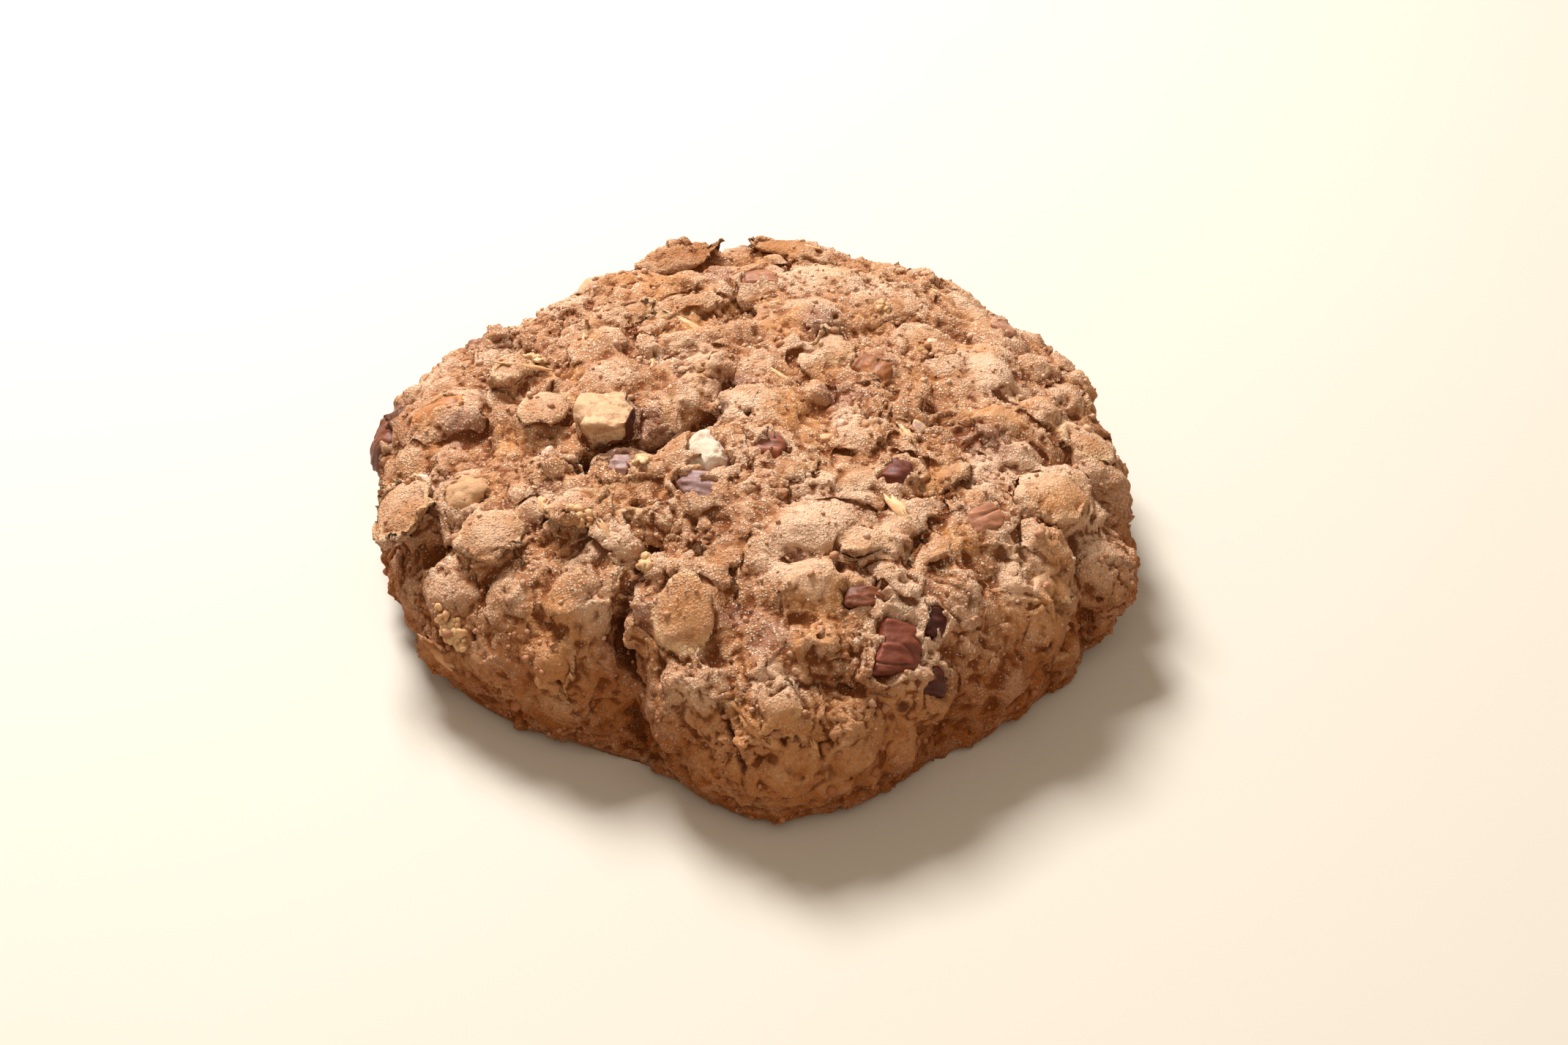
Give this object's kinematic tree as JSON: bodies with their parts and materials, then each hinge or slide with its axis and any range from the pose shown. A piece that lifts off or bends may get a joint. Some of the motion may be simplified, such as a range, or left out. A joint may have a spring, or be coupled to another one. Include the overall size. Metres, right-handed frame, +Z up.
{
  "type": "pecan cookie",
  "caption": "Thick domed oatmeal cookie with a craggy, cracked crust, oat lumps and pecan pieces set in its surface, and a flat underside.",
  "frame": {"origin": "middle of the flat underside", "axes": "+Z up through the dome; -Y is the side with the protruding front lobe; +X is to the right of it"},
  "size_m": [0.0862, 0.0879, 0.0238],
  "materials": {
    "dough": "baked dough, sandy and dry, paler on the tips and browner in the creases",
    "pecan_skin": "furrowed pecan skin, dark red-brown, slightly glossy",
    "pecan_flesh": "broken pecan kernel, cream, matt"
  },
  "bodies": {
    "root": {"cookie": "dough", "pecan_cream_left": "pecan_flesh", "pecan_cream_crown": "pecan_flesh", "pecan_dark_crown": "pecan_skin", "pecan_small_left": "pecan_skin", "pecan_crown_front": "pecan_skin", "pecan_red_right": "pecan_skin", "pecan_front_bar": "pecan_skin", "pecan_front_ridged": "pecan_skin", "pecan_front_dark": "pecan_skin", "pecan_front_low": "pecan_skin", "pecan_lobe_right": "pecan_skin", "pecan_back_grey": "pecan_skin", "pecan_right_dark": "pecan_skin", "pecan_back_right": "pecan_skin", "pecan_left_round": "pecan_flesh", "pecan_left_golden": "pecan_flesh", "pecan_left_tip": "pecan_skin", "pecan_far_low": "pecan_skin", "pecan_far_left": "pecan_flesh"}
  },
  "joints": []
}
